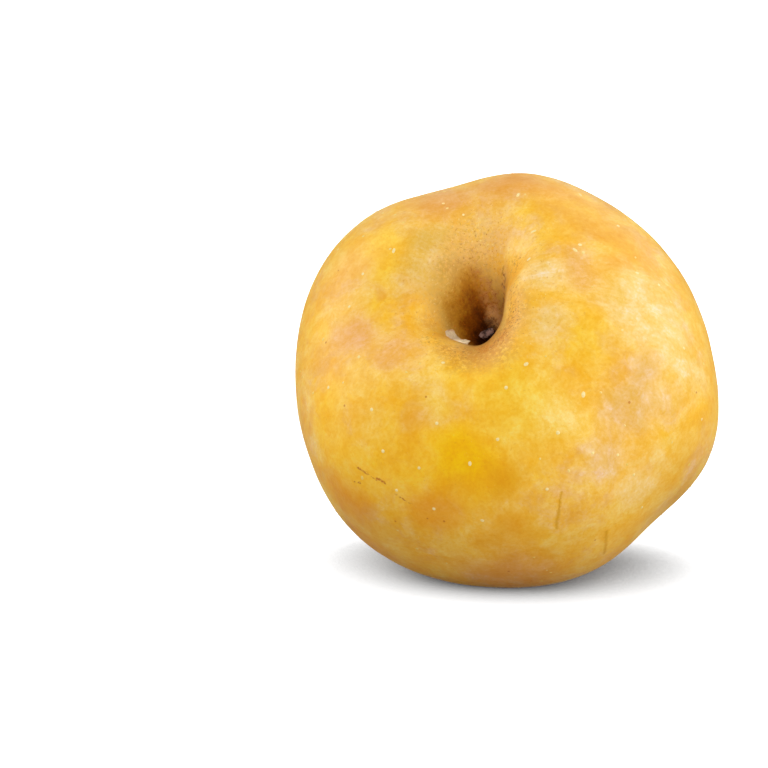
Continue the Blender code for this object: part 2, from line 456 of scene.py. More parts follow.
# How far out a patch begins and is full, as shares of its radius
PATCH_OUTER = 1.3
PATCH_INNER = 0.25

# Noise that shifts the colours about: wavelength in mm, detail, roughness
DRIFT = (9, 2, 0.5)
RAGGED = (2.4, 4, 0.65)
TREMBLE = (0.8, 4, 0.7)

# How far it shifts them, in mm
PATCH_DRIFT = 9
PATCH_RAGGEDNESS = 1.7
STREAK_DRIFT = 6
MOTTLING_DRIFT = 3
RIM_RAGGEDNESS = 4
LINE_RAGGEDNESS = 0.6
LINE_TREMBLE = 0.9

# Clouds under the patches: a shift of their noise, wavelength in mm, where they begin and are
# full, share, colour. Then the noise's detail and roughness
CLOUDS = (
    (0, 13, 0.34, 0.54, 1, GOLD),
    (17, 9, 0.5, 0.66, 0.5, DEEP_YELLOW),
    (23, 6, 0.52, 0.66, 0.5, PALE_LEMON),
)
CLOUD_NOISE = (6, 0.66)

# Tones by which noise multiplies the colour, and its layers: a shift, wavelength in mm, share.
# Then its detail and roughness, and where it is all dark and all pale
DARK_TONE = (252, 238, 192)
PALE_TONE = (258, 265, 332)
STREAKS = (
    (0, 2.6, 0.2),
    (9, 1, 0.12),
)
MOTTLING = (
    (21, 6, 0.7),
    (25, 2.2, 0.35),
    (29, 0.7, 0.35),
)
TONE_NOISE = (3, 0.55, 0.36, 0.64)

# Streaks run along the meridians: how fine they are round the core, and how drawn out along it
RAY_TURNS = 34
RAY_SHORTENING = 0.2

# Patterns of noise: wavelength in mm, detail, roughness, and where they begin and are full
RIM_SPECKLES = (0.8, 6, 0.8, 0.36, 0.56)
FINE_SPECKS = (0.55, 4, 0.75, 0.52, 0.62)
WALL_BREAKS = (0.9, 3, 0.6, 0.42, 0.62)
SCRATCH_BREAKS = (0.7, 3, 0.7, 0.38, 0.56)
RUSSET_CLUMPS = (1.1, 5, 0.75, 0.38, 0.58)
DARK_CLUMPS = (0.8, 6, 0.8, 0.49, 0.68)
BROWN_FLECKS = (0.5, 4, 0.7, 0.58, 0.7)
FINE_GRAIN = (0.6, 4, 0.8, 0.35, 0.65)
DULL_PATCHES = (1.3, 4, 0.6, 0.2, 0.8)

# Shifts that keep patterns of one kind of noise apart
CLUMP_SHIFT = (5, 2, 7)
FLECK_SHIFT = (1, 6, 4)
BROWN_SHIFT = (3, 8, 1)

# The cavity's brown and painted shade: how far noise and a finer noise shift them, and where they
# begin and are full
STAIN_AND_SHADE_RAGGEDNESS = 1.8
STAIN_AND_SHADE_NOISE = (0.6, 4, 0.7)
STAIN_AND_SHADE_SHIFT = 3
STAIN_AND_SHADE_EDGES = (15.5, 9)

# Russet on its right wall: the way from the core, how squarely, and its outer and inner edges
RUSSET_WAY = (0.03, 1, 0)
RUSSET_FACING = (0.82, 0.96)
RUSSET_OUTER = (11, 8.5)
RUSSET_INNER = (3.8, 5.4)
RUSSET_SHARE = 0.8

# Dark clumps: shares in the russet, on the far wall and round the cavity, and edges
RUSSET_CLUMP_SHARE = 0.85
FAR_WALL = (110, 25)
FAR_WALL_EDGES = (8.5, 2.5)
FAR_WALL_SHARE = 0.6
CLUMP_EDGES = (13, 7)
CLUMP_SHARE = 0.4

# Flecks crowd beyond the cavity and near the core's stalk end: both middles and edges
FLECKED_SIDE = (100, 30)
FLECKED_SIDE_EDGES = (11, 2)
FLECKED_END = (0, 0, 28)
FLECKED_END_EDGES = (24, 10)

# Pale flecks: noise, stretch, where they are full and begin, how much sooner in the crowd, and
# how far from the cavity they come in
FLECK_NOISE = (0.5, 5, 0.75)
FLECK_STRETCH = (1, 0.55, 1)
FLECK_FULL = 0.7
FLECK_START = 0.62
FLECK_CROWDING = 0.05
FLECK_EDGES = (6, 11)

# Shares of flecks everywhere, and what the crowd adds to the pale and the brown ones
FLECK_SHARE = 0.2
PALE_CROWD_SHARE = 0.5
BROWN_CROWD_SHARE = 0.4

# Freckles: spacing in mm, share left out, outer and inner radius in mm, strength
FRECKLE_SPACING = 3.4
FRECKLES_LEFT_OUT = 0.86
FRECKLE_RADII = (0.34, 0.2)
FRECKLE_SHARE = 0.7

# Gloss: roughness, how much it varies, how much duller the cavity is and where, fine grain
SKIN_ROUGHNESS = 0.38
ROUGHNESS_SPREAD = 0.14
CAVITY_DULLNESS = 0.3
CAVITY_EDGES = (9, 5)
SKIN_GRAIN = (0.5, 3, 0.6)
SKIN_GRAIN_HEIGHT = 0.04 * MM
SKIN_SETTINGS = {
    "Specular IOR Level": 0.35,
    "Subsurface Weight": 0.1,
    "Subsurface Radius": (1.0, 0.5, 0.15),
    "Subsurface Scale": 1.2 * MM,
    "Sheen Weight": 0.1,
    "Sheen Roughness": 0.45,
}


def linear(colour):
    """A colour from 0 to 255 as the linear values that a shader takes."""
    shares = np.array(colour) / 255
    return (*np.where(shares <= 0.04045, shares / 12.92, ((shares + 0.055) / 1.055) ** 2.4), 1)


def cheek_point(azimuth, polar):
    """Point on a sphere as wide as the cheeks, in mm."""
    azimuth, polar = radians(azimuth), radians(polar)
    return around(azimuth, sin(polar), cos(polar)) * CHEEK_RADIUS


class Nodes:
    """Short names for the shader nodes that the materials are made of."""

    def __init__(self, name):
        self.material = bpy.data.materials.new(name)
        self.material.use_nodes = True
        self.tree = self.material.node_tree
        self.shader = self.tree.nodes["Principled BSDF"]

    def set(self, socket, value):
        """Links a socket's value, or sets a plain one."""
        if isinstance(value, bpy.types.NodeSocket):
            self.tree.links.new(value, socket)
        else:
            socket.default_value = value

    def node(self, kind, values=(), **properties):
        """A new node of a kind, with its properties and the values of its sockets set."""
        made = self.tree.nodes.new("ShaderNode" + kind)
        for name, value in properties.items():
            setattr(made, name, value)
        for socket, value in dict(values).items():
            self.set(made.inputs[socket], value)
        return made

    def attribute(self, name, output):
        """A value that the mesh keeps at its points."""
        return self.node("Attribute", attribute_name=name).outputs[output]

    def math(self, operation, first, second=0.0):
        """Two numbers combined."""
        return self.node("Math", {0: first, 1: second}, operation=operation).outputs[0]

    def product(self, first, *others):
        """All the numbers multiplied."""
        for other in others:
            first = self.math("MULTIPLY", first, other)
        return first

    def scaled(self, value, share, start):
        """A start value with a share of another added."""
        return self.math("ADD", self.math("MULTIPLY", value, share), start)

    def vector(self, operation, first, second=(0, 0, 0)):
        """Two vectors combined, to a number where that is what comes of it."""
        made = self.node("VectorMath", {0: first, 1: second}, operation=operation)
        return made.outputs["Value" if operation in ("DISTANCE", "DOT_PRODUCT") else "Vector"]

    def shifted(self, place, way, reach):
        """A place moved some way, as many times over as it reaches."""
        return self.vector("ADD", place, self.vector("MULTIPLY", way, (reach,) * 3))

    def noise(self, place, wave, detail, roughness, output="Fac"):
        """Noise from 0 to 1 with a wavelength in the units of the place."""
        values = {"Vector": place, "Scale": 1 / wave, "Detail": detail, "Roughness": roughness}
        return self.node("TexNoise", values).outputs[output]

    def wander(self, place, wave, detail, roughness):
        """Noise as a vector round zero."""
        made = self.noise(place, wave, detail, roughness, output="Color")
        return self.vector("SUBTRACT", made, (0.5, 0.5, 0.5))

    def between(self, value, low, high, smooth=True):
        """Where value lies from low to high, as 0 to 1."""
        values = {"Value": value, "From Min": low, "From Max": high}
        kind = "SMOOTHSTEP" if smooth else "LINEAR"
        return self.node("MapRange", values, interpolation_type=kind).outputs["Result"]

    def pattern(self, place, kind):
        """A pattern of noise, from 0 where it has yet to begin to 1 where it is full."""
        wave, detail, roughness, low, high = kind
        return self.between(self.noise(place, wave, detail, roughness), low, high)

    def mix(self, share, first, second, blend="MIX"):
        """Colour first, with a share of colour second."""
        values = {0: share, 6: first, 7: second}
        return self.node("Mix", values, data_type="RGBA", blend_type=blend).outputs[2]

    def paint(self, colour, paint, *shares):
        """Colour with paint over it, which covers it as much as the shares multiplied."""
        return self.mix(self.product(*shares), colour, linear(paint))

    def ramp(self, value, stops):
        """Colour of a value from 0 to 1 along stops of millimetres and colour."""
        made = self.node("ValToRGB", {0: value})
        elements = made.color_ramp.elements
        while len(elements) < len(stops):
            elements.new(1.0)
        for element, (distance, colour) in zip(elements, stops):
            element.position = distance / STAIN_AND_SHADE_END
            element.color = linear(colour)
        return made.outputs[0]

    def specks(self, place, spacing, left_out):
        """Distance from the middle of the nearest speck, far for the share left out."""
        cells = self.node("TexVoronoi", {"Vector": place, "Scale": 1 / spacing})
        chance = self.node("SeparateColor", {0: cells.outputs["Color"]})
        missing = self.math("LESS_THAN", chance.outputs[0], left_out)
        away = self.math("MULTIPLY", cells.outputs["Distance"], spacing)
        return self.math("ADD", away, missing)

    def lines(self, place, ragged, ends):
        """How near a place is to any of some thin lines, from 0 to 1."""
        total = 0.0
        tremble = self.wander(place, *TREMBLE)
        place = self.shifted(place, ragged, LINE_RAGGEDNESS)
        place = self.shifted(place, tremble, LINE_TREMBLE)
        place = self.vector("MULTIPLY", self.vector("NORMALIZE", place), (CHEEK_RADIUS,) * 3)
        for start, end, half_width in ends:
            start, end = cheek_point(*start), cheek_point(*end)
            from_start = self.vector("SUBTRACT", place, start)
            along = self.vector("DOT_PRODUCT", from_start, end - start)
            share = self.between(along, 0.0, (end - start).length_squared, smooth=False)
            values = {0: end - start, "Scale": share}
            nearest = self.node("VectorMath", values, operation="SCALE")
            away = self.vector("DISTANCE", from_start, nearest.outputs[0])
            total = self.math("MAXIMUM", total, self.between(away, LINE_END * half_width, 0.0))
        return total

    def lay(self, colour, place, layer):
        """Lays a layer's paint over a colour where its noise is high."""
        shift, wave, low, high, share, paint = layer
        place = self.vector("ADD", place, (shift,) * 3)
        cover = self.pattern(place, (wave, *CLOUD_NOISE, low, high))
        return self.paint(colour, paint, cover, share)

    def tone(self, colour, place, layer):
        """Varies a colour between a darker and a paler tone of itself."""
        shift, wave, share = layer
        place = self.vector("ADD", place, (shift,) * 3)
        level = self.pattern(place, (wave, *TONE_NOISE))
        return self.mix(share, colour, self.mix(level, linear(DARK_TONE), linear(PALE_TONE)),
                        "MULTIPLY")

    def finish(self, colour, roughness):
        """Gives the shader its colour and roughness."""
        self.set(self.shader.inputs["Base Color"], colour)
        self.set(self.shader.inputs["Roughness"], roughness)
        return self.material

    def bump(self, height, distance):
        """Roughens the shader's surface by a height from 0 to 1, times a distance."""
        made = self.node("Bump", {"Height": height, "Distance": distance})
        self.tree.links.new(made.outputs["Normal"], self.shader.inputs["Normal"])


def patch_centre(azimuth, polar):
    """Centre of a patch in the apple's own frame, in mm."""
    place = np.array([radians(azimuth)]), np.array([radians(polar)])
    return tuple(skin_points(*place)[0] / MM)


def add_patches(n, place, colour, patches, cover=1.0):
    """Lays soft-edged patches over a colour, as far as they cover it."""
    for azimuth, polar, radius, paint, strength in patches:
        away = n.vector("DISTANCE", place, patch_centre(azimuth, polar))
        near = n.between(away, radius * PATCH_OUTER, radius * PATCH_INNER)
        colour = n.paint(colour, paint, near, strength, cover)
    return colour


def rays(n, place):
    """Way from the core, and a place for noise that runs in fine streaks along the meridians."""
    axes = n.node("SeparateXYZ", {0: place}).outputs
    flat = n.node("CombineXYZ", {0: axes[0], 1: axes[1]})
    way = n.vector("NORMALIZE", flat.outputs[0])
    along = n.node("CombineXYZ", {2: n.math("MULTIPLY", axes[2], RAY_SHORTENING)})
    return way, n.shifted(along.outputs[0], way, RAY_TURNS)


def mottle(n, place, ray_place, drift, ragged):
    """Ground colour of the skin: clouds with the patches over them, streaked and mottled."""
    warped = n.shifted(n.shifted(place, drift, PATCH_DRIFT), ragged, PATCH_RAGGEDNESS)
    colour = linear(PEACH)
    for layer in CLOUDS:
        colour = n.lay(colour, warped, layer)
    colour = add_patches(n, warped, colour, PATCHES)
    streaked = n.shifted(ray_place, drift, STREAK_DRIFT)
    for layer in STREAKS:
        colour = n.tone(colour, streaked, layer)
    drifted = n.shifted(place, drift, MOTTLING_DRIFT)
    for layer in MOTTLING:
        colour = n.tone(colour, drifted, layer)
    return colour


def stain_and_shade_cavity(n, place, way, ragged, colour):
    """Browns the skin and paints shade towards the cavity's bottom, with darker russet on its far
    right wall.
    """
    shift = n.vector("DOT_PRODUCT", ragged, (STAIN_AND_SHADE_RAGGEDNESS,) * 3)
    fine = n.math("SUBTRACT", n.noise(place, *STAIN_AND_SHADE_NOISE), 0.5)
    stain_and_shade = n.math("ADD", n.attribute("stain_and_shade", "Fac"), n.scaled(fine, STAIN_AND_SHADE_SHIFT, shift))
    # Painted shade: the ramp's darkest stops darken the deep throat beyond the russet's own brown
    wall = n.ramp(n.math("DIVIDE", stain_and_shade, STAIN_AND_SHADE_END), CAVITY_STAIN_AND_SHADE)
    colour = n.mix(n.between(stain_and_shade, *STAIN_AND_SHADE_EDGES), colour, wall)

    facing = n.vector("DOT_PRODUCT", way, RUSSET_WAY)
    ring = n.product(n.between(stain_and_shade, *RUSSET_OUTER), n.between(stain_and_shade, *RUSSET_INNER))
    russet = n.product(n.between(facing, *RUSSET_FACING), ring)
    colour = n.paint(colour, RUSSET, n.pattern(place, RUSSET_CLUMPS), russet, RUSSET_SHARE)

    far = n.vector("DISTANCE", place, patch_centre(*FAR_WALL))
    around = n.product(n.between(stain_and_shade, *CLUMP_EDGES), CLUMP_SHARE)
    around = n.scaled(n.between(far, *FAR_WALL_EDGES), FAR_WALL_SHARE, around)
    clumped = n.math("MAXIMUM", n.product(russet, RUSSET_CLUMP_SHARE), around)
    clumps = n.pattern(n.vector("ADD", place, CLUMP_SHIFT), DARK_CLUMPS)
    return n.paint(colour, RUSSET_DARK, clumps, clumped)


def edge_cavity(n, place, ragged, colour):
    """Lays the colours and specks of the cavity's rim, and the line down its right wall."""
    near_place = n.shifted(place, ragged, RIM_RAGGEDNESS)
    colour = add_patches(n, near_place, colour, RIM_PATCHES, n.pattern(place, RIM_SPECKLES))
    colour = add_patches(n, near_place, colour, RIM_SPECKS, n.pattern(place, FINE_SPECKS))
    wall_line = n.lines(place, ragged, WALL_LINES)
    return n.paint(colour, RUSSET_DARK, wall_line, n.pattern(place, WALL_BREAKS), WALL_LINE_SHARE)


def add_flecks(n, place, colour):
    """Fine pale and russet flecks, close together beyond the cavity, and a fine grain."""
    beyond = n.vector("DISTANCE", place, patch_centre(*FLECKED_SIDE))
    around = n.vector("DISTANCE", place, FLECKED_END)
    crowd = n.math("ADD", n.between(beyond, *FLECKED_SIDE_EDGES),
                   n.between(around, *FLECKED_END_EDGES))

    stretched = n.vector("MULTIPLY", n.vector("ADD", place, FLECK_SHIFT), FLECK_STRETCH)
    start = n.scaled(crowd, -FLECK_CROWDING, FLECK_START)
    flecks = n.between(n.noise(stretched, *FLECK_NOISE), start, FLECK_FULL)
    outside = n.between(n.attribute("stain_and_shade", "Fac"), *FLECK_EDGES)
    share = n.scaled(crowd, PALE_CROWD_SHARE, FLECK_SHARE)
    colour = n.paint(colour, FLECK, flecks, outside, share)

    brown = n.pattern(n.vector("ADD", place, BROWN_SHIFT), BROWN_FLECKS)
    share = n.scaled(crowd, BROWN_CROWD_SHARE, FLECK_SHARE)
    colour = n.paint(colour, FRECKLE, brown, share)
    return n.mix(n.pattern(place, FINE_GRAIN), colour, linear(GRAIN), "MULTIPLY")


def add_marks(n, place, ragged, dents, colour):
    """Brown freckles and scratches, and the dents' darker bottoms."""
    freckles = n.between(n.specks(place, FRECKLE_SPACING, FRECKLES_LEFT_OUT), *FRECKLE_RADII)
    colour = n.paint(colour, FRECKLE, freckles, FRECKLE_SHARE)
    scratches = n.lines(place, ragged, SCRATCHES)
    colour = n.paint(colour, SCRATCH, scratches, n.pattern(place, SCRATCH_BREAKS))
    return n.paint(colour, DENT, dents, DENT_SHARE)


def gloss_skin(n, place, dents):
    """Sets the gloss and grain, and returns the roughness, greater in the cavity."""
    for socket, value in SKIN_SETTINGS.items():
        n.shader.inputs[socket].default_value = value
    n.shader.inputs["Sheen Tint"].default_value = linear(SKIN_DOWN)
    n.bump(n.math("SUBTRACT", n.noise(place, *SKIN_GRAIN), dents), SKIN_GRAIN_HEIGHT)
    roughness = n.scaled(n.pattern(place, DULL_PATCHES), ROUGHNESS_SPREAD, SKIN_ROUGHNESS)
    inside = n.between(n.attribute("stain_and_shade", "Fac"), *CAVITY_EDGES)
    return n.scaled(inside, CAVITY_DULLNESS, roughness)


def skin_material():
    """Mottled yellow skin: clouds, patches with painted highlights, streaks, flecks, freckles and
    a browned cavity with painted shade.
    """
    n = Nodes("apple_skin")
    place = n.attribute("core_place", "Vector")
    drift = n.wander(place, *DRIFT)
    ragged = n.wander(place, *RAGGED)
    way, ray_place = rays(n, place)
    colour = mottle(n, place, ray_place, drift, ragged)
    colour = stain_and_shade_cavity(n, place, way, ragged, colour)
    colour = edge_cavity(n, place, ragged, colour)
    colour = add_flecks(n, place, colour)
    dents = n.lines(place, ragged, DENTS)
    colour = add_marks(n, place, ragged, dents, colour)
    return n.finish(colour, gloss_skin(n, place, dents))


def add_piece(name, points, faces, finish, node, attributes=None):
    """A smooth mesh from points in the apple's own frame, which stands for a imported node."""
    mesh = bpy.data.meshes.new(name)
    mesh.from_pydata(lay_down(points).tolist(), [], faces)
    return finish_piece(name, mesh, points, finish, node, attributes)


def finish_piece(name, mesh, points, finish, node, attributes=None):
    """Gives a laid-down mesh its place in the core's frame, its finish and its body."""
    mesh.shade_smooth()
    core_place = mesh.attributes.new("core_place", "FLOAT_VECTOR", "POINT")
    core_place.data.foreach_set("vector", (np.asarray(points) / MM).astype(np.float32).ravel())
    for label, values in (attributes or {}).items():
        made = mesh.attributes.new(label, "FLOAT", "POINT")
        made.data.foreach_set("value", np.asarray(values, np.float32))
    mesh.materials.append(finish)
    piece = bpy.data.objects.new(name, mesh)
    bpy.context.scene.collection.objects.link(piece)
    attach(piece, "root")
    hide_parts(node)
    return piece


def add_skin():
    """The apple's skin: a sphere's vertices moved to the skin with its fine relief."""
    bm = bmesh.new()
    bmesh.ops.create_uvsphere(bm, u_segments=MERIDIANS, v_segments=RINGS, radius=1)
    mesh = bpy.data.meshes.new("skin")
    bm.to_mesh(mesh)
    bm.free()
    unit = np.zeros(len(mesh.vertices) * 3)
    mesh.vertices.foreach_get("co", unit)
    unit = unit.reshape(-1, 3)
    azimuth = np.arctan2(unit[:, 1], unit[:, 0])
    polar = ring_angles(np.arccos(np.clip(unit[:, 2], -1, 1)))
    points = fine_skin(azimuth, polar)
    stain_and_shade = stain_and_shade_distance(azimuth, polar)
    mesh.vertices.foreach_set("co", lay_down(points).ravel())
    mesh.update()
    return finish_piece("skin", mesh, points, skin_material(), "apple", {"stain_and_shade": stain_and_shade})


# Lenticels: how many, their radii, how high one stands, its sides, and its rings' shares of both
DOTS = 230
DOT_RADII = (0.2 * MM, 0.38 * MM)
DOT_RISE = 0.07 * MM
DOT_SIDES = 10
DOT_RINGS = ((0.55, 0.75), (1.05, -0.5))

# The minor ones: share kept at the stalk end, power with which it grows towards the calyx, polar
# limits, how long one can be to its width, and how pale a dull one can be
DOTS_KEPT = 0.15
DOT_CROWDING = 0.8
DOT_LIMITS = (radians(30), radians(165))
DOT_LONGEST = 1.5
DOT_PALENESS = 0.7

# Their looks: mottling, its share, roughness, and a fine grain with its height
DOT_MOTTLING = (0.3, 2, 0.5, 0.3, 0.7)
DOT_MOTTLE_SHARE = 0.5
DOT_ROUGHNESS = 0.6
DOT_GRAIN = (0.12, 2, 0.5)
DOT_GRAIN_HEIGHT = 0.02 * MM

# Angle over which the slope of the skin is taken
SLOPE_STEP = 0.002

# The lenticels that stand out most: azimuth, polar angle, radius in mm, how much longer than wide
CHIEF_DOTS = (
    (154.9, 34.4, 0.38, 1.8),
    (170.2, 40.9, 0.34, 1.1),
    (185.7, 43.7, 0.34, 1),
    (157.1, 56.9, 0.36, 1),
    (123.9, 57.4, 0.34, 1.3),
    (117.8, 43.3, 0.38, 1),
    (110.5, 35.6, 0.32, 1),
    (251.9, 27.8, 0.36, 1.2),
    (84.3, 42.1, 0.36, 2.2),
    (65.4, 55.5, 0.34, 2.4),
    (63.8, 29.3, 0.34, 1.8),
    (37, 36.2, 0.42, 1.2),
    (34.2, 33.7, 0.4, 1.7),
    (45.7, 19.7, 0.34, 1.5),
    (44.6, 53.7, 0.4, 1.2),
    (19.3, 50.1, 0.36, 1.3),
    (16.3, 56.8, 0.36, 1.1),
    (305, 32.7, 0.42, 1.4),
    (355.8, 64.1, 0.36, 1),
    (213.6, 55.6, 0.38, 1),
    (234.6, 49.7, 0.4, 1),
    (260.7, 46.4, 0.38, 1),
    (244.6, 57.8, 0.4, 1),
    (257.3, 59, 0.36, 1),
    (273.6, 56.2, 0.38, 1.4),
    (283.6, 50.4, 0.38, 1),
    (262.3, 70, 0.4, 1),
    (275.6, 72.6, 0.36, 1.2),
    (251.2, 66.9, 0.34, 1),
    (291, 37.1, 0.42, 1),
    (318.6, 48.3, 0.44, 1.6),
    (303.9, 53.2, 0.44, 1),
    (310.9, 62.3, 0.36, 1),
    (317.2, 66.9, 0.36, 1),
    (319, 75.5, 0.36, 1),
    (294.9, 66.1, 0.38, 1),
    (318.4, 89.5, 0.34, 1),
    (344.8, 80.8, 0.34, 1),
)


def lenticel_material():
    """Cream cork, a little darker in places."""
    n = Nodes("lenticel")
    place = n.attribute("core_place", "Vector")
    colour = n.mix(n.attribute("pale", "Fac"), linear(DOT_DULL), linear(DOT))
    mottling = n.pattern(place, DOT_MOTTLING)
    colour = n.paint(colour, DOT_DULL, mottling, DOT_MOTTLE_SHARE)
    n.bump(n.noise(place, *DOT_GRAIN), DOT_GRAIN_HEIGHT)
    return n.finish(colour, DOT_ROUGHNESS)


def lenticel_places():
    """Azimuth, polar angle, radius and lengthening of each lenticel, denser to the calyx."""
    draw = random.Random(11)
    places = [
        (radians(azimuth), radians(polar), radius * MM, longer)
        for azimuth, polar, radius, longer in CHIEF_DOTS
    ]
    smallest, largest = DOT_RADII
    highest, lowest = DOT_LIMITS
    while len(places) < DOTS:
        polar = acos(draw.uniform(-1, 1))
        azimuth = draw.uniform(0, 2 * pi)
        kept = DOTS_KEPT + (1 - DOTS_KEPT) * (polar / pi) ** DOT_CROWDING
        radius = smallest + draw.random() ** 2 * (largest - smallest)
        longer = draw.uniform(1.0, DOT_LONGEST)
        if draw.random() < kept and highest < polar < lowest:
            places.append((azimuth, polar, radius, longer))
    return places


def lenticel_points(centre, down, side, turn, radius, longer):
    """Points of a lenticel: its top and its rings, turned in the plane of the skin."""
    first = Vector(down).normalized()
    normal = first.cross(Vector(side)).normalized()
    second = normal.cross(first)
    turned = Matrix.Rotation(turn, 3, normal)
    points = [Vector(centre) + normal * DOT_RISE]
    for share, rise in DOT_RINGS:
        for angle in np.linspace(0, 2 * pi, DOT_SIDES, endpoint=False):
            long_way = first * (radius * share * longer * cos(angle))
            short_way = second * (radius * share * sin(angle))
            place = turned @ (long_way + short_way) + normal * (DOT_RISE * rise)
            points.append(Vector(centre) + place)
    return points


def lenticel_faces(top):
    """Faces of the lenticel whose top is the point of that number."""
    faces = []
    for number in range(DOT_SIDES):
        inner = top + 1 + number
        inner_next = top + 1 + (number + 1) % DOT_SIDES
        faces.append((top, inner, inner_next))
        faces.append((inner, inner + DOT_SIDES, inner_next + DOT_SIDES, inner_next))
    return faces


def add_lenticels():
    """Pale corky dots: low domes whose edges are sunk in the skin."""
    draw = random.Random(5)
    places = lenticel_places()
    azimuths, polars = np.array(places).T[:2]
    centres = fine_skin(azimuths, polars)
    downwards = fine_skin(azimuths, polars + SLOPE_STEP) - centres
    sideways = fine_skin(azimuths + SLOPE_STEP, polars) - centres
    points, faces, pale = [], [], []
    for number, (centre, down, side) in enumerate(zip(centres, downwards, sideways)):
        turn = draw.uniform(0, pi)
        paleness = draw.uniform(0.0, DOT_PALENESS) + (number < len(CHIEF_DOTS))
        faces += lenticel_faces(len(points))
        points += lenticel_points(centre, down, side, turn, *places[number][2:])
        pale += [min(paleness, 1.0)] * (len(points) - len(pale))
    return add_piece("lenticels", points, faces, lenticel_material(), "apple",
                     {"pale": pale})


# The stalk: its tip's place across the core, its length, and its radius at foot, waist and tip
GAP = 0.3 * MM
STALK_LEAN = (-0.9 * MM, -1.1 * MM)
STALK_LENGTH = 5.4 * MM
STALK_RADII = (1.5 * MM, 1.3 * MM, 1.55 * MM)
STALK_SIDES = 48
STALK_STEPS = 24
STALK_FLATTENING = 0.45
STALK_FLAT_TURN = radians(40)
STALK_RIDGES = 7
STALK_RIDGE_HEIGHT = 0.12
STALK_CUT_DEPTH = 0.5 * MM
STALK_CUT_RINGS = 6

# How deep its end is torn, as a share of the cut's depth, and how finely
STALK_TEAR = 0.6
STALK_TEAR_TURNS = 2.2

# Its looks: fibres, drawn out along it, patches of the cut and its edges, the fibres' smoothest
# and roughest, and a grain with its height
FIBRE_STRETCH = (1, 1, 0.2)
STALK_FIBRES = (0.3, 3, 0.6, 0.3, 0.7)
CUT_PATCHES = (1.1, 4, 0.6, 0.36, 0.6)
CUT_EDGES = (0.3, 0.8)
STALK_ROUGHNESS = (-1.5, 1.2)
STALK_GRAIN = (0.25, 3, 0.5)
STALK_GRAIN_HEIGHT = 0.12 * MM


def stalk_material():
    """Dark fibrous wood, greyer and paler on the cut end."""
    n = Nodes("stalk_wood")
    place = n.attribute("core_place", "Vector")
    fibres = n.pattern(n.vector("MULTIPLY", place, FIBRE_STRETCH), STALK_FIBRES)
    side = n.mix(fibres, linear(STALK_SIDE), linear(STALK_DARK))
    face = n.mix(n.pattern(place, CUT_PATCHES), linear(STALK_DARK), linear(STALK_CUT))
    colour = n.mix(n.between(n.attribute("cut", "Fac"), *CUT_EDGES), side, face)
    n.bump(n.noise(place, *STALK_GRAIN), STALK_GRAIN_HEIGHT)
    return n.finish(colour, n.between(fibres, *STALK_ROUGHNESS))


def add_stalk():
    """A stout bent stub with ridged sides and a hollowed, ragged cut end."""
    round_foot = np.linspace(0, 2 * pi, STALK_SIDES // 2, endpoint=False)
    floor = max(skin_point_at(STALK_END, azimuth, STALK_RADII[0]).z for azimuth in round_foot)
    points, cut = [], []
    ring_count = STALK_STEPS + 1 + STALK_CUT_RINGS
    for ring in range(ring_count):
        share = min(ring / STALK_STEPS, 1)
        inwards = 1 - max(ring - STALK_STEPS, 0) / (STALK_CUT_RINGS + 1)
        radius = np.interp(share, (0, 0.5, 1), STALK_RADII)
        hollowed = STALK_CUT_DEPTH * (1 - inwards**2)
        lean = Vector((*STALK_LEAN, 0)) * share**2
        for angle in np.linspace(0, 2 * pi, STALK_SIDES, endpoint=False):
            way = around(angle)
            flat = 1 - STALK_FLATTENING * share * sin(angle - STALK_FLAT_TURN) ** 2
            ridge = noise.noise(way * STALK_RIDGES + Vector((0, 0, share)))
            reach = radius * flat * (1 + STALK_RIDGE_HEIGHT * ridge) * inwards
            uneven = noise.noise(way * (STALK_TEAR_TURNS * inwards) + Vector((0, 0, 4)))
            torn = STALK_TEAR * STALK_CUT_DEPTH * share**6 * uneven
            up = Vector((0, 0, floor + GAP + share * STALK_LENGTH - hollowed + torn))
            points.append(way * reach + lean + up)
            cut.append(float(ring >= STALK_STEPS))
    faces = ring_faces(ring_count, STALK_SIDES)
    faces.append(tuple(reversed(range(STALK_SIDES))))
    faces.append(tuple(range(len(points) - STALK_SIDES, len(points))))
    return add_piece("stalk_stub", points, faces, stalk_material(), "stalk", {"cut": cut})


def ring_faces(rings, sides):
    """Faces that join rings of points, each with the same number of sides."""
    faces = []
    for start in range(0, (rings - 1) * sides, sides):
        for number in range(sides):
            first, second = start + number, start + (number + 1) % sides
            faces.append((first, second, second + sides, first + sides))
    return faces


def shell_faces(steps, rows):
    """Faces of a thin shell: a sheet of points, the same sheet again below it, and the edge."""
    length = rows + 1
    count = (steps + 1) * length
    faces = []
    for step in range(steps):
        for row in range(rows):
            a = step * length + row
            b, c, d = a + 1, a + length + 1, a + length
            faces.append((a, d, c, b))
            faces.append((a + count, b + count, c + count, d + count))
    edge = list(range(length))
    edge += [step * length + rows for step in range(1, steps + 1)]
    edge += [steps * length + row for row in reversed(range(rows))]
    edge += [step * length for step in reversed(range(1, steps))]
    for a, b in zip(edge, edge[1:] + edge[:1]):
        faces.append((a, b, b + count, a + count))
    return faces


# The bract, a dry flake that lies along the near left rim of the throat
BRACT_START = radians(201)
BRACT_END = radians(253)
BRACT_MIDDLE_RADIUS = 7.9 * MM
BRACT_WIDTH = 2.1 * MM
BRACT_THICKNESS = 0.22 * MM
BRACT_CURLS = (1.7 * MM, 1.6 * MM)
BRACT_STEPS = 70
BRACT_ROWS = 14

# Its torn edges and its waves as shares of its width, its ripples, and how finely each runs
BRACT_TEAR = 0.3
BRACT_TEARS = (9, 3)
BRACT_WAVE = 0.1
BRACT_HALF_WAVES = 3
BRACT_RIPPLE = 0.12 * MM
BRACT_RIPPLES = (14, 2)

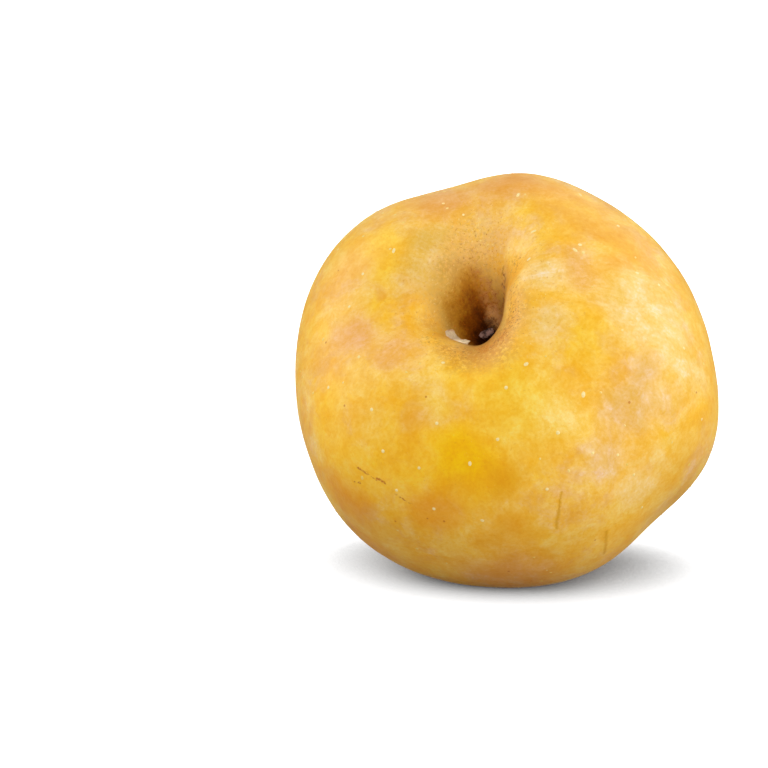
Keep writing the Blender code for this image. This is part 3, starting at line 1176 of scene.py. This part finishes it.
# Its looks: veins, drawn out, with their height, where its tip is shaded, and roughness
VEIN_STRETCH = (1, 1, 2)
BRACT_VEINS = (0.35, 4, 0.65, 0.5, 0.8)
BRACT_VEIN_HEIGHT = 0.08 * MM
BRACT_TIP = (0.12, 0)
BRACT_ROUGHNESS = 0.8


def bract_material():
    """Pale dry tissue with darker veins along it."""
    n = Nodes("dry_bract")
    place = n.attribute("core_place", "Vector")
    veins = n.pattern(n.vector("MULTIPLY", place, VEIN_STRETCH), BRACT_VEINS)
    tip = n.between(n.attribute("along", "Fac"), *BRACT_TIP)
    n.bump(veins, BRACT_VEIN_HEIGHT)
    colour = n.paint(linear(BRACT_PALE), BRACT_SHADE, veins)
    return n.finish(n.paint(colour, BRACT_SHADE, tip), BRACT_ROUGHNESS)


def add_bract():
    """A narrow ragged strip laid on the rim, whose inner edge curls up."""
    tops, along_values = [], []
    for step in range(BRACT_STEPS + 1):
        along = step / BRACT_STEPS
        azimuth = BRACT_START + along * (BRACT_END - BRACT_START)
        taper = 1 - abs(2 * along - 1) ** 4 / 2
        wave = BRACT_WAVE * BRACT_WIDTH * sin(BRACT_HALF_WAVES * pi * along)
        for row in range(BRACT_ROWS + 1):
            side = 2 * row / BRACT_ROWS - 1
            uneven = noise.noise((BRACT_TEARS[0] * along, BRACT_TEARS[1] * np.sign(side), 1))
            torn = BRACT_TEAR * uneven * abs(side)
            across = side * (taper + torn) * BRACT_WIDTH / 2
            skin = skin_point_at(STALK_END, azimuth, BRACT_MIDDLE_RADIUS + across + wave)
            curl = np.interp(along, (0, 1), BRACT_CURLS) * (1 - side) / 2
            uneven = noise.noise((BRACT_RIPPLES[0] * along, BRACT_RIPPLES[1] * side, 6))
            tops.append(skin + Vector((0, 0, GAP + curl + BRACT_RIPPLE * uneven)))
            along_values.append(along)
    points = tops + [top + Vector((0, 0, -BRACT_THICKNESS)) for top in tops]
    faces = shell_faces(BRACT_STEPS, BRACT_ROWS)
    return add_piece("bract_flake", points, faces, bract_material(), "bract",
                     {"along": along_values * 2})


# The calyx: dried sepals round a low cup in the basin, and dried stamens within it
SEPAL_REACH = 5.6 * MM
SEPAL_FOOT = 1.3 * MM
SEPAL_HALF_WIDTH = 1.7 * MM
SEPAL_THICKNESS = 0.25 * MM
SEPAL_CURL = 1 * MM
SEPAL_TWIST = 0.12
SEPAL_UNEVENNESS = 0.15
SEPAL_HOLLOW = 0.25 * MM
SEPAL_RIPPLE = 0.12 * MM
SEPAL_STEPS = 22
SEPAL_ROWS = 12
STAMENS = 14
STAMEN_RADIUS = 0.1 * MM
STAMEN_LENGTH = 1.7 * MM
STAMEN_KNOB = 1.2
STAMEN_SIDES = 6
STAMEN_STEPS = 6

# Its looks: grey down, fine veins, their share and height, and roughness
SEPAL_DOWN = (0.9, 5, 0.7, 0.45, 0.65)
SEPAL_VEINS = (0.25, 3, 0.6, 0.4, 0.7)
SEPAL_VEIN_SHARE = 0.5
SEPAL_VEIN_HEIGHT = 0.1 * MM
SEPAL_ROUGHNESS = 0.85


def sepal_material():
    """Dry brown leaf with grey down and veins."""
    n = Nodes("dry_sepal")
    place = n.attribute("core_place", "Vector")
    veins = n.pattern(place, SEPAL_VEINS)
    n.bump(veins, SEPAL_VEIN_HEIGHT)
    colour = n.paint(linear(SEPAL_BROWN), SEPAL_GREY, n.pattern(place, SEPAL_DOWN))
    return n.finish(n.paint(colour, STALK_DARK, veins, SEPAL_VEIN_SHARE), SEPAL_ROUGHNESS)


def sepal_tops(middle, draw):
    """Top points of one sepal: a tapering leaf that lies on the basin and curls at its tip."""
    points = []
    curl = SEPAL_CURL * draw.uniform(0.5, 1.0)
    twist = draw.uniform(-SEPAL_TWIST, SEPAL_TWIST)
    for step in range(SEPAL_STEPS + 1):
        share = step / SEPAL_STEPS
        radius = SEPAL_FOOT + share * (SEPAL_REACH - SEPAL_FOOT)
        half_width = SEPAL_HALF_WIDTH * (1 - share**1.7) * (0.75 + 0.5 * share)
        for row in range(SEPAL_ROWS + 1):
            side = 2 * row / SEPAL_ROWS - 1
            uneven = 1 + SEPAL_UNEVENNESS * noise.noise((5 * share, side, middle))
            azimuth = middle + twist * share + side * uneven * half_width / radius
            skin = skin_point_at(CALYX_END, azimuth, radius)
            lift = GAP + SEPAL_THICKNESS + curl * share**3 + SEPAL_HOLLOW * side**2
            lift += SEPAL_RIPPLE * noise.noise((4 * share, 2 * side, middle + 9))
            points.append(skin - Vector((0, 0, lift)))
    return points


def stamen_points(azimuth, foot, lean):
    """Rings of points up one stamen, from its foot's place to the knob on its tip."""
    floor = skin_point_at(CALYX_END, 0.0, 0.0).z - GAP
    points = []
    for step in range(STAMEN_STEPS + 1):
        share = step / STAMEN_STEPS
        radius = foot + lean * share**2 * STAMEN_LENGTH
        middle = around(azimuth, radius, floor - share * STAMEN_LENGTH)
        thickness = STAMEN_RADIUS * (1 + STAMEN_KNOB * share**8)
        for angle in np.linspace(0, 2 * pi, STAMEN_SIDES, endpoint=False):
            points.append(middle + around(angle) * thickness)
    return points


def add_calyx():
    """Five sepals with a tuft of stamens between them."""
    draw = random.Random(3)
    points, faces = [], []
    for number in range(PLEATS):
        start = len(points)
        tops = sepal_tops(2 * pi * number / PLEATS, draw)
        points += tops + [top + Vector((0, 0, SEPAL_THICKNESS)) for top in tops]
        for face in shell_faces(SEPAL_STEPS, SEPAL_ROWS):
            faces.append(tuple(start + corner for corner in (face[0], *face[:0:-1])))
    for number in range(STAMENS):
        start = len(points)
        azimuth = 2 * pi * number / STAMENS + draw.uniform(-0.2, 0.2)
        points += stamen_points(azimuth, draw.uniform(0.5, 1.3) * MM, draw.uniform(-0.3, 0.6))
        for face in ring_faces(STAMEN_STEPS + 1, STAMEN_SIDES):
            faces.append(tuple(start + corner for corner in face))
        faces.append(tuple(range(start, start + STAMEN_SIDES)))
        faces.append(tuple(range(len(points) - STAMEN_SIDES, len(points))))
    return add_piece("calyx_sepals", points, faces, sepal_material(), "calyx")


# Camera: how far it looks down, how far off it stands, its lens, and the point that it looks at
CAMERA_DIP = radians(11)
CAMERA_DISTANCE = 0.6
CAMERA_LENS = 140
CAMERA_TARGET = (-24.5 * MM, 0, CENTRE_HEIGHT - 0.8 * MM)

# Soft lights: azimuth from the camera towards its right and height in degrees, strength, where 1
# makes a white surface that faces the light just white, and whether it makes highlights
LIGHT_SPREAD = radians(50)
LIGHTS = (
    ("front", 0, 8, 0.86, False),
    ("right", 95, 40, 0.26, True),
    ("low_right", 78, 10, 0.6, False),
    ("left", -105, 40, 0.4, True),
    ("low_left", -112, 10, 0.54, False),
    ("back_right", 138, 40, 0.2, True),
    ("back", 180, 35, 0.06, True),
)
FILL = 0.03

# The floor's colour where it is seen, its own glow with a painted shadow in it, how near the apple
# must be to shade it, the open share that still leaves it dark, how far the painted shadow's light
# seems to come from the front and from the right, and the colour with which the floor sends light
# back up on the apple
FLOOR_COLOUR = (0.1, 0.1, 0.1, 1)
FLOOR_GLOW = 1.6
FLOOR_SHADE_REACH = 24 * MM
FLOOR_DARK_SHARE = 0.34
FLOOR_PAINTED_SHADOW_TILT = radians(54)
FLOOR_PAINTED_SHADOW_SHIFT = -0.16
FLOOR_RETURNS = (0.33, 0.3, 0.255, 1)
FLOOR_SIZE = 40


def add_floor():
    """A plain white floor that glows where it is seen, with a soft painted shadow close by."""
    bpy.ops.mesh.primitive_plane_add(size=FLOOR_SIZE)
    floor = bpy.context.object
    floor.name = "floor"
    n = Nodes("floor")
    seen = n.node("LightPath").outputs["Is Camera Ray"]
    painted_shadow_way = {0: FLOOR_PAINTED_SHADOW_SHIFT, 1: -sin(FLOOR_PAINTED_SHADOW_TILT), 2: cos(FLOOR_PAINTED_SHADOW_TILT)}
    values = {"Distance": FLOOR_SHADE_REACH, "Normal": n.node("CombineXYZ", painted_shadow_way).outputs[0]}
    # Painted shadow: the floor's glow dims where the apple hides much of the sky near it
    open_sky = n.node("AmbientOcclusion", values, samples=8)
    n.shader.inputs["Emission Color"].default_value = (1, 1, 1, 1)
    open_share = n.between(open_sky.outputs["AO"], FLOOR_DARK_SHARE, 1.0, smooth=False)
    n.set(n.shader.inputs["Emission Strength"], n.product(open_share, seen, FLOOR_GLOW))
    n.shader.inputs["Specular IOR Level"].default_value = 0.0
    floor.data.materials.append(n.finish(n.mix(seen, FLOOR_RETURNS, FLOOR_COLOUR), 1.0))


def add_camera():
    """The photo's camera."""
    data = bpy.data.cameras.new("camera")
    data.lens = CAMERA_LENS
    data.sensor_width = 36.0
    camera = bpy.data.objects.new("camera", data)
    bpy.context.scene.collection.objects.link(camera)
    looking = Vector((0, cos(CAMERA_DIP), -sin(CAMERA_DIP)))
    camera.location = Vector(CAMERA_TARGET) - looking * CAMERA_DISTANCE
    camera.rotation_euler = looking.to_track_quat("-Z", "Y").to_euler()
    bpy.context.scene.camera = camera


def add_lights():
    """Soft lights from all round, and a faint even fill."""
    for name, azimuth, height, strength, gloss in LIGHTS:
        azimuth, height = radians(azimuth), radians(height)
        light = bpy.data.lights.new(name, "SUN")
        light.angle = LIGHT_SPREAD
        light.energy = strength * pi
        lamp = bpy.data.objects.new(name, light)
        lamp.visible_glossy = gloss
        flat = cos(height)
        towards = Vector((sin(azimuth) * flat, -cos(azimuth) * flat, sin(height)))
        lamp.rotation_euler = towards.to_track_quat("Z", "Y").to_euler()
        bpy.context.scene.collection.objects.link(lamp)
    world = bpy.data.worlds.new("world")
    bpy.context.scene.world = world
    world.use_nodes = True
    world.node_tree.nodes["Background"].inputs["Color"].default_value = (1, 1, 1, 1)
    world.node_tree.nodes["Background"].inputs["Strength"].default_value = FILL
    bpy.context.scene.view_settings.view_transform = "Standard"


add_floor()
add_camera()
add_lights()
add_skin()
add_lenticels()
add_stalk()
add_bract()
add_calyx()
